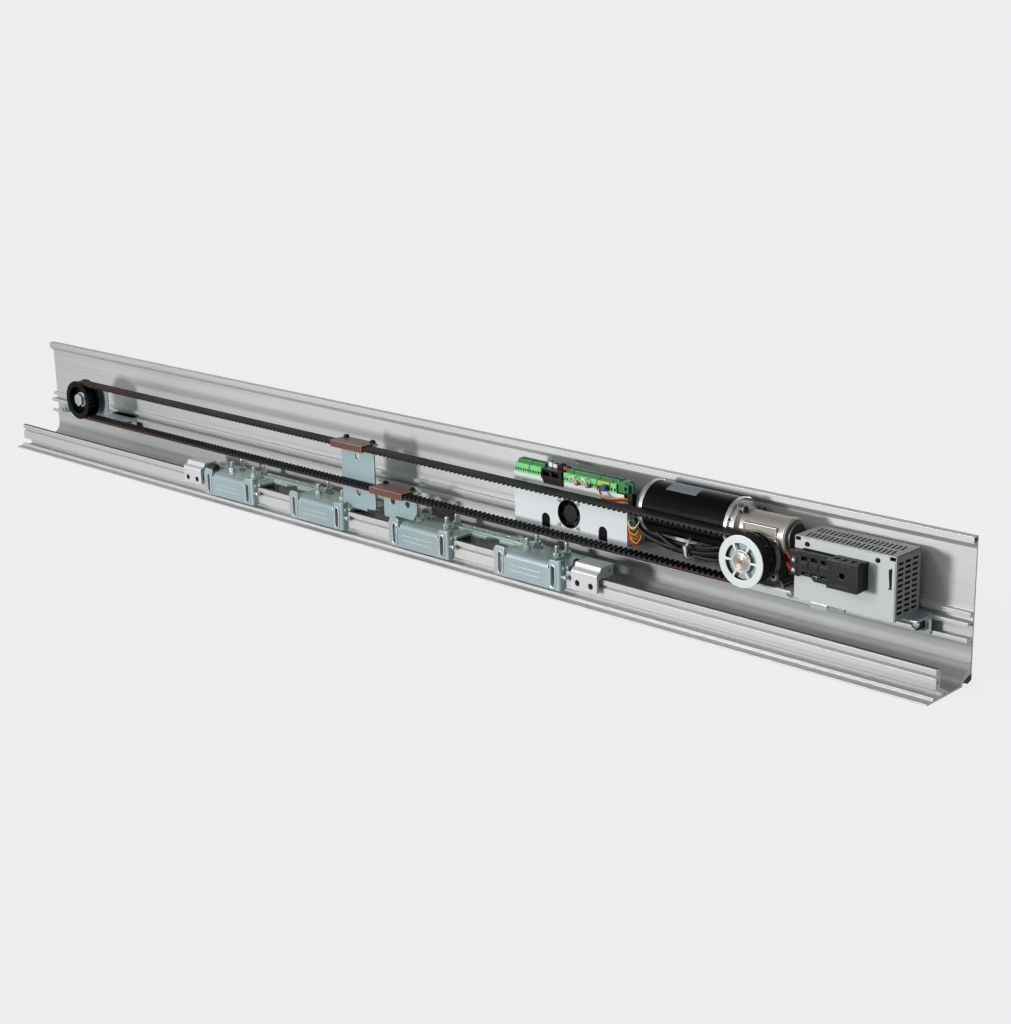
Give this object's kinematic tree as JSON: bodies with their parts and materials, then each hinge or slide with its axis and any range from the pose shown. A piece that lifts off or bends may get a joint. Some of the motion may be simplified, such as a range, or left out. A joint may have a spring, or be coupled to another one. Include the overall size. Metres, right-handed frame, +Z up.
{
  "type": "sliding door operator",
  "caption": "Belt-driven operator for a two-leaf sliding door: aluminium carrier profile with rail, carriages, toothed belt, geared motor, control unit and power supply",
  "frame": {"origin": "middle of the flat back face of the carrier profile, half way along it and half way up it", "axes": "+X along the profile towards the motor and power supply, +Y into the wall, +Z up"},
  "size_m": [1.777, 0.0935, 0.169],
  "materials": {
    "profile": "satin extruded",
    "zinc": "zinc plated sheet",
    "stop_alloy": "satin machined",
    "seal_rubber": "matt",
    "strip": "matt",
    "belt": "matt",
    "black_plastic": "satin moulded",
    "pulley_steel": "machined",
    "motor_paint": "gloss black",
    "cast_alloy": "sand blasted casting",
    "panel_paint": "satin light grey",
    "board_green": "solder mask",
    "terminal_green": "satin",
    "cover_grey": "satin",
    "copper_plate": "brown passivated",
    "black_steel": "black oxide",
    "cable_black": "satin",
    "cable_red": "satin",
    "roller_white": "satin"
  },
  "bodies": {
    "operator": {"carrier_profile": "profile", "base_seal": "seal_rubber", "rail_strip": "strip", "drive_belt": "belt", "idler_axle": "zinc", "idler_bracket": "zinc", "module_shelf": "panel_paint", "motor_can": "motor_paint", "motor_end_bells": "cast_alloy", "gearbox_housing": "cast_alloy", "controller_plate": "panel_paint", "controller_board": "board_green", "terminal_blocks": "terminal_green", "data_socket": "black_plastic", "fan_frame": "black_plastic", "machine_screws": "zinc", "psu_case": "panel_paint", "psu_cover": "cover_grey", "mains_block": "black_plastic", "psu_bracket": "zinc", "slot_bolts": "zinc", "harness": "cable_black", "power_leads": "cable_red"},
    "left_leaf": {"hanger_1": "zinc", "hanger_2": "zinc", "base_plate_1": "zinc", "base_plate_2": "zinc", "axle_pins_left": "zinc", "link_bar_left": "zinc", "leaf_bolts_left": "zinc", "belt_plate_tall": "zinc", "belt_clamp_upper": "copper_plate"},
    "right_leaf": {"hanger_3": "zinc", "hanger_4": "zinc", "base_plate_3": "zinc", "base_plate_4": "zinc", "axle_pins_right": "zinc", "link_bar_right": "zinc", "leaf_bolts_right": "zinc", "belt_plate_short": "zinc", "belt_clamp_lower": "copper_plate"},
    "drive_wheel": {"drive_pulley": "black_plastic", "pulley_face": "pulley_steel", "drive_hub": "pulley_steel"},
    "idler_wheel": {"idler_pulley": "black_plastic"},
    "fan": {"fan_rotor": "black_plastic"},
    "left_stop": {"stop_left": "stop_alloy", "stop_left_screws": "black_steel", "stop_left_buffer": "seal_rubber"},
    "right_stop": {"stop_right": "stop_alloy", "stop_right_screws": "black_steel", "stop_right_buffer": "seal_rubber"},
    "wheel_1": {"roller_1": "roller_white"},
    "wheel_2": {"roller_2": "roller_white"},
    "wheel_3": {"roller_3": "roller_white"},
    "wheel_4": {"roller_4": "roller_white"},
    "wheel_5": {"roller_5": "roller_white"},
    "wheel_6": {"roller_6": "roller_white"},
    "wheel_7": {"roller_7": "roller_white"},
    "wheel_8": {"roller_8": "roller_white"}
  },
  "joints": [
    {"name": "left_leaf_slide", "type": "slide", "parent": "operator", "child": "left_leaf", "axis": [-1, 0, 0], "range_m": [0, 0.4], "deforming": ["drive_belt"]},
    {"name": "right_leaf_slide", "type": "slide", "parent": "operator", "child": "right_leaf", "axis": [1, 0, 0], "range_m": [-0.001, 0.401]},
    {"name": "left_stop_slide", "type": "slide", "parent": "operator", "child": "left_stop", "axis": [-1, 0, 0], "range_m": [-0.001, 0.401]},
    {"name": "right_stop_slide", "type": "slide", "parent": "operator", "child": "right_stop", "axis": [1, 0, 0], "range_m": [-0.001, 0.401]},
    {"name": "drive_spin", "type": "hinge", "parent": "operator", "child": "drive_wheel", "pos_m": [0.642, -0.0825, 0.021], "axis": [0, -1, 0], "range_deg": [-3, 821]},
    {"name": "idler_spin", "type": "hinge", "parent": "operator", "child": "idler_wheel", "pos_m": [-0.686, -0.0825, 0.021], "axis": [0, -1, 0], "range_deg": [-3, 821]},
    {"name": "fan_spin", "type": "hinge", "parent": "operator", "child": "fan", "pos_m": [0.344, -0.0475, 0.0127], "axis": [0, -1, 0], "continuous": true},
    {"name": "wheel_1_spin", "type": "hinge", "parent": "left_leaf", "child": "wheel_1", "pos_m": [-0.352, -0.0335, -0.0717], "axis": [0, -1, 0], "range_deg": [-3, 1435]},
    {"name": "wheel_2_spin", "type": "hinge", "parent": "left_leaf", "child": "wheel_2", "pos_m": [-0.264, -0.0335, -0.0717], "axis": [0, -1, 0], "range_deg": [-3, 1435]},
    {"name": "wheel_3_spin", "type": "hinge", "parent": "left_leaf", "child": "wheel_3", "pos_m": [-0.152, -0.0335, -0.0717], "axis": [0, -1, 0], "range_deg": [-3, 1435]},
    {"name": "wheel_4_spin", "type": "hinge", "parent": "left_leaf", "child": "wheel_4", "pos_m": [-0.064, -0.0335, -0.0717], "axis": [0, -1, 0], "range_deg": [-3, 1435]},
    {"name": "wheel_5_spin", "type": "hinge", "parent": "right_leaf", "child": "wheel_5", "pos_m": [0.0595, -0.0335, -0.0717], "axis": [0, 1, 0], "range_deg": [-3, 1435]},
    {"name": "wheel_6_spin", "type": "hinge", "parent": "right_leaf", "child": "wheel_6", "pos_m": [0.1475, -0.0335, -0.0717], "axis": [0, 1, 0], "range_deg": [-3, 1435]},
    {"name": "wheel_7_spin", "type": "hinge", "parent": "right_leaf", "child": "wheel_7", "pos_m": [0.2595, -0.0335, -0.0717], "axis": [0, 1, 0], "range_deg": [-3, 1435]},
    {"name": "wheel_8_spin", "type": "hinge", "parent": "right_leaf", "child": "wheel_8", "pos_m": [0.3475, -0.0335, -0.0717], "axis": [0, 1, 0], "range_deg": [-3, 1435]}
  ],
  "couplings": [
    {"joint": "right_leaf_slide", "follows": "left_leaf_slide", "ratio": 1},
    {"joint": "left_stop_slide", "follows": "left_leaf_slide", "ratio": 1},
    {"joint": "right_stop_slide", "follows": "left_leaf_slide", "ratio": 1},
    {"joint": "drive_spin", "follows": "left_leaf_slide", "rad_per_m": 35.7},
    {"joint": "idler_spin", "follows": "left_leaf_slide", "rad_per_m": 35.7},
    {"joint": "wheel_1_spin", "follows": "left_leaf_slide", "rad_per_m": 62.5},
    {"joint": "wheel_2_spin", "follows": "left_leaf_slide", "rad_per_m": 62.5},
    {"joint": "wheel_3_spin", "follows": "left_leaf_slide", "rad_per_m": 62.5},
    {"joint": "wheel_4_spin", "follows": "left_leaf_slide", "rad_per_m": 62.5},
    {"joint": "wheel_5_spin", "follows": "left_leaf_slide", "rad_per_m": 62.5},
    {"joint": "wheel_6_spin", "follows": "left_leaf_slide", "rad_per_m": 62.5},
    {"joint": "wheel_7_spin", "follows": "left_leaf_slide", "rad_per_m": 62.5},
    {"joint": "wheel_8_spin", "follows": "left_leaf_slide", "rad_per_m": 62.5}
  ]
}
